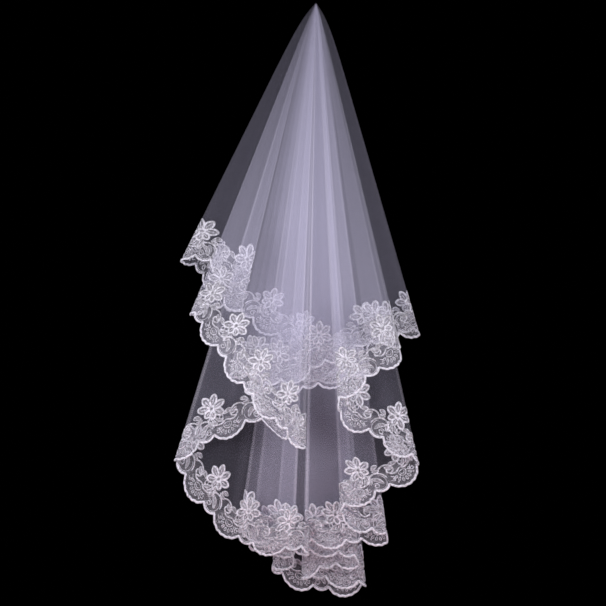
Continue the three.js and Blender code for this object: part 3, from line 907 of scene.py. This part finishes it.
class VEIL_OT_edge_cord(bpy.types.Operator):
    """Make the thick cord along the scalloped edge"""

    bl_idname = "veil.make_edge_cord"
    bl_label = "Edge cord"

    def execute(self, context):
        lace = context.scene.veil_lace
        width = lace.cord_width / METRES
        work = LaceWork()
        work.stroke(edge_path(), width, 0.8 * width, sides=6, end_share=1.0)
        # The edge cord is painted the most lit of all strokes.
        make_lace("lace_edge_cord", work, thread_material("edge cord thread", lace, 0.85))
        return {"FINISHED"}


class VEIL_OT_ground(bpy.types.Operator):
    """Make the fine embroidery that fills the lace between its motifs"""

    bl_idname = "veil.make_ground"
    bl_label = "Lace ground"

    def execute(self, context):
        columns = LACE_REPEATS * GROUND_COLUMNS
        x = np.arange(columns) / GROUND_COLUMNS * REPEAT_LENGTH
        share = np.linspace(0, 1, GROUND_ROWS)
        edge = edge_depth(x)[:, None]
        inward = edge + (GROUND_TOP - edge) * share
        hem_share = np.broadcast_to((x / HEM_LENGTH)[:, None], inward.shape)
        turn, length = flat_place(hem_share, inward)
        points = hang(turn, length, np.full_like(length, -GROUND_LIFT)).reshape(-1, 3)
        uv = np.stack([hem_share * HEM_LENGTH, inward], axis=-1).reshape(-1, 2) * METRES
        fade = np.clip((GROUND_TOP - inward) / GROUND_FADE, 0, 1).ravel()
        faces = grid_faces(columns, GROUND_ROWS)
        material = ground_material(context.scene.veil_lace)
        piece = make_piece("lace_ground", points, [faces], uv, material, {"fade": fade})
        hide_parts("lace_border")
        return {"FINISHED"}


def petal_sizes():
    """Angle, length and half width of each petal; those that point to the edge are shorter."""
    angles = PETAL_FIRST + 360 / PETALS * np.arange(PETALS)
    shorter = np.array([SHORT_PETAL if 250 < angle % 360 < 345 else 1.0 for angle in angles])
    return angles, PETAL_REACH * shorter - PETAL_ROOT, PETAL_HALF_WIDTH * (0.5 + 0.5 * shorter)


class VEIL_OT_flowers(bpy.types.Operator):
    """Make the flowers: seven corded petals round a small ring"""

    bl_idname = "veil.make_flowers"
    bl_label = "Flowers"

    def execute(self, context):
        lace = context.scene.veil_lace
        width = lace.thread_width / METRES
        height = lace.relief / METRES
        work = LaceWork()
        fills = LaceWork()
        centre = np.array(FLOWER_CENTRE)
        for angle, length, half in zip(*petal_sizes()):
            toward = flat_direction(angle)
            start = centre + PETAL_ROOT * toward
            work.stroke(blade_outline(start, angle, length, half), 1.3 * width, height, closed=True)
            vein = start + toward * np.linspace(2.5, 0.6 * (length + PETAL_ROOT), 6)[:, None]
            work.stroke(vein, 0.9, 0.9 * height)
            fills.blade_fill(start, angle, length, 0.95 * half, 0.0, 0.5 * height)
        work.stroke(ring(centre, FLOWER_EYE), 1.6, 1.2 * height, closed=True)
        fills.blade_fill(centre - (FLOWER_EYE, 0), 0, 2 * FLOWER_EYE, 3.0, 0.0, height, 0.5, 0.5)
        # The outlines are painted lit and the fills painted shaded.
        make_lace("lace_flowers", work, thread_material("flower thread", lace, 0.7))
        make_lace("lace_petal_fills", fills, thread_material("petal fill", lace, 0.35, lace.fill_cover))
        return {"FINISHED"}


class VEIL_OT_scrolls(bpy.types.Operator):
    """Make the loops, swags, curls and rings between the flowers and the edge"""

    bl_idname = "veil.make_scrolls"
    bl_label = "Scrolls"

    def execute(self, context):
        lace = context.scene.veil_lace
        width = lace.thread_width / METRES
        height = lace.relief / METRES
        work = LaceWork()
        work.stroke(arc(SMALL_LOOP_CENTRE, SMALL_LOOP_RADIUS, 2, 178), width, height)
        work.stroke(arc(SMALL_LOOP_CENTRE, 11.6, -150, 60), 0.9, 0.8 * height)
        work.stroke(spiral((30.5, 18.5), 1.2, 4.6, 0, 500), 1.7, height)
        work.stroke(soft_line((29, 38), (23, 27.5), (11, 24), (2.5, 27.5)), width, height)
        work.stroke(soft_line((26, 41), (21, 32), (12, 28), (4, 31)), 0.9, 0.8 * height)
        work.stroke(soft_line((2.5, 27.5), (-6, 24.5), (-12, 25.5), (-17, 31)), width, height)
        work.stroke(ring((8, 33.5), 2.8), 1.3, height, closed=True)
        branch = soft_line((46, 40), (53, 42.5), (60, 41.5), (66, 36.5), (66, 30), (60.5, 27.5))
        work.stroke(branch, width, height)
        work.stroke(soft_line((60.5, 27.5), (56, 30), (57, 34), (60, 35)), width, height)
        work.stroke(soft_line((-20, 17), (-15, 14), (-13, 19), (-17, 23)), 1.2, height)
        work.stroke(soft_line((20, 15), (16, 13), (14, 18), (18, 21)), 1.2, height)
        make_lace("lace_scrolls", work, thread_material("scroll thread", lace, 0.5))
        return {"FINISHED"}


class VEIL_OT_leaves(bpy.types.Operator):
    """Make the leaves: corded outlines with a stitched filling"""

    bl_idname = "veil.make_leaves"
    bl_label = "Leaves"

    def execute(self, context):
        lace = context.scene.veil_lace
        height = lace.relief / METRES
        work = LaceWork()
        fills = LaceWork()
        for start, angle, length, half, bend in LEAVES:
            work.stroke(blade_outline(start, angle, length, half, bend), 1.5, height, closed=True)
            fills.blade_fill(start, angle, length, 0.8 * half, bend, 0.7 * height)
        make_lace("lace_leaves", work, thread_material("leaf thread", lace, 0.4))
        make_lace("lace_leaf_fills", fills, thread_material("leaf fill", lace, 0.3, 1.6 * lace.fill_cover))
        return {"FINISHED"}


class VEIL_OT_seeds(bpy.types.Operator):
    """Make the seed head in the big scallop: a cup with a fan of seeds round it"""

    bl_idname = "veil.make_seeds"
    bl_label = "Seeds"

    def execute(self, context):
        lace = context.scene.veil_lace
        height = lace.relief / METRES
        work = LaceWork()
        centre = np.array(SEED_CUP_CENTRE)
        work.stroke(arc(centre, SEED_CUP_RADIUS, 175, 365), 1.9, height)
        work.stroke(arc(centre, 3.4, 185, 355), 1.2, height)
        work.stroke(soft_line((-4.5, 21.5), (1.5, 23.0), (7.5, 21.5)), 1.3, height)
        for angle in np.linspace(-168, -12, SEEDS):
            toward = flat_direction(angle)
            start = centre + 8.8 * toward
            work.stroke(blade_outline(start, angle, 5.8, 1.5, 0.0, 0.9, 0.5), 1.4, height, closed=True)
            tip = centre + 17.0 * toward
            if tip[1] > 6.0:
                work.stroke(ring(tip, 0.8), 1.2, height, closed=True)
        make_lace("lace_seeds", work, thread_material("seed thread", lace, 0.35))
        return {"FINISHED"}


class VEIL_OT_join_cloth(bpy.types.Operator):
    """An empty step that makes nothing"""

    bl_idname = "veil.join_cloth"
    bl_label = "Flat size"

    def execute(self, context):
        return {"FINISHED"}


class VEIL_OT_stage(bpy.types.Operator):
    """Make the pale floor, the soft lights, the dark room and the camera"""

    bl_idname = "veil.make_stage"
    bl_label = "Stage"

    def execute(self, context):
        stage = context.scene.veil_stage
        self.floor(stage)
        self.room(context.scene)
        for name, place, size, share, colour, aim, spread in LIGHTS:
            self.soft_light(name, place, size, share * stage.front_light, colour, aim, spread)
        self.camera(context.scene, stage)
        return {"FINISHED"}

    def floor(self, stage):
        """A round floor below the veil: rings of points at even steps of radius and angle."""
        radius = np.linspace(0, FLOOR_RADIUS, FLOOR_RINGS + 1)[1:]
        i = np.arange(FLOOR_CORNERS)
        flat = flat_direction(i * 360 / FLOOR_CORNERS)[:, None] * radius[:, None]
        flat = np.vstack([flat.reshape(-1, 2), [[0, 0]]])
        points = np.column_stack([flat, np.full(len(flat), FLOOR_HEIGHT)])
        after = (i + 1) % FLOOR_CORNERS
        fan = np.stack([i * FLOOR_RINGS, after * FLOOR_RINGS, np.full_like(i, len(points) - 1)], axis=1)
        faces = grid_faces(FLOOR_CORNERS, FLOOR_RINGS)[:, ::-1]
        mesh = bpy.data.meshes.new("floor")
        mesh.from_pydata(points.tolist(), [], faces.tolist() + fan.tolist())
        recipe = Recipe("pale floor")
        uneven = recipe.noise(6.0, 3.0)
        dark = [0.94 * value for value in stage.floor_colour]
        colour = recipe.mixed_colour(uneven, dark, stage.floor_colour)
        mesh.materials.append(recipe.finish({"Base Color": colour, "Roughness": 0.85}))
        floor = bpy.data.objects.new("floor", mesh)
        bpy.context.scene.collection.objects.link(floor)

    def room(self, scene):
        """A black room, and plain colours with enough see-through layers for the stacked net."""
        world = bpy.data.worlds.new("dark room")
        world.use_nodes = True
        world.node_tree.nodes["Background"].inputs["Color"].default_value = (0, 0, 0, 1)
        scene.world = world
        scene.view_settings.view_transform = "Standard"
        scene.cycles.transparent_max_bounces = 96

    def soft_light(self, name, place, size, power, colour, aim, spread):
        """A square soft light that faces the veil's middle line at a height, spread in degrees."""
        data = bpy.data.lights.new(name, "AREA")
        data.size = size
        data.energy = power
        data.color = colour
        data.spread = math.radians(spread)
        light = bpy.data.objects.new(name, data)
        light.visible_camera = False
        bpy.context.scene.collection.objects.link(light)
        light.location = place
        toward = np.array([0.0, 0.0, aim]) - np.array(place)
        flat = math.hypot(toward[0], toward[1])
        light.rotation_euler = (math.atan2(flat, -toward[2]), 0, math.atan2(-toward[0], toward[1]))

    def camera(self, scene, stage):
        """A camera level with the middle of the veil, straight in front of it."""
        data = bpy.data.cameras.new("camera")
        data.sensor_width = 36.0
        data.lens = stage.lens
        camera = bpy.data.objects.new("camera", data)
        camera.location = (CAMERA_SIDE, -stage.camera_distance, CAMERA_HEIGHT)
        camera.rotation_euler = (math.pi / 2, 0, 0)
        scene.collection.objects.link(camera)
        scene.camera = camera


STEPS = (
    VEIL_OT_stage,
    VEIL_OT_tulle,
    VEIL_OT_ground,
    VEIL_OT_edge_cord,
    VEIL_OT_flowers,
    VEIL_OT_scrolls,
    VEIL_OT_leaves,
    VEIL_OT_seeds,
    VEIL_OT_join_cloth,
)


class VIEW3D_PT_veil(bpy.types.Panel):
    """Lists the settings and the steps that make the veil"""

    bl_idname = "VIEW3D_PT_veil"
    bl_label = "Lace veil"
    bl_space_type = "VIEW_3D"
    bl_region_type = "UI"
    bl_category = "Veil"

    def draw(self, context):
        for group in (context.scene.veil_cloth, context.scene.veil_lace, context.scene.veil_stage):
            box = self.layout.box()
            for name in group.__annotations__:
                box.prop(group, name)
        for step in STEPS:
            self.layout.operator(step.bl_idname)


SETTINGS = {
    "veil_cloth": VeilClothSettings,
    "veil_lace": VeilLaceSettings,
    "veil_stage": VeilStageSettings,
}


def register():
    """Adds the settings, the steps and the panel."""
    for group in (*SETTINGS.values(), *STEPS, VIEW3D_PT_veil):
        bpy.utils.register_class(group)
    for name, group in SETTINGS.items():
        setattr(bpy.types.Scene, name, bpy.props.PointerProperty(type=group))


def unregister():
    """Takes them out again."""
    for name in SETTINGS:
        delattr(bpy.types.Scene, name)
    for group in reversed((*SETTINGS.values(), *STEPS, VIEW3D_PT_veil)):
        bpy.utils.unregister_class(group)


def main():
    """Makes every piece in order."""
    register()
    for step in STEPS:
        area, name = step.bl_idname.split(".")
        getattr(getattr(bpy.ops, area), name)()


if __name__ == "__main__":
    main()
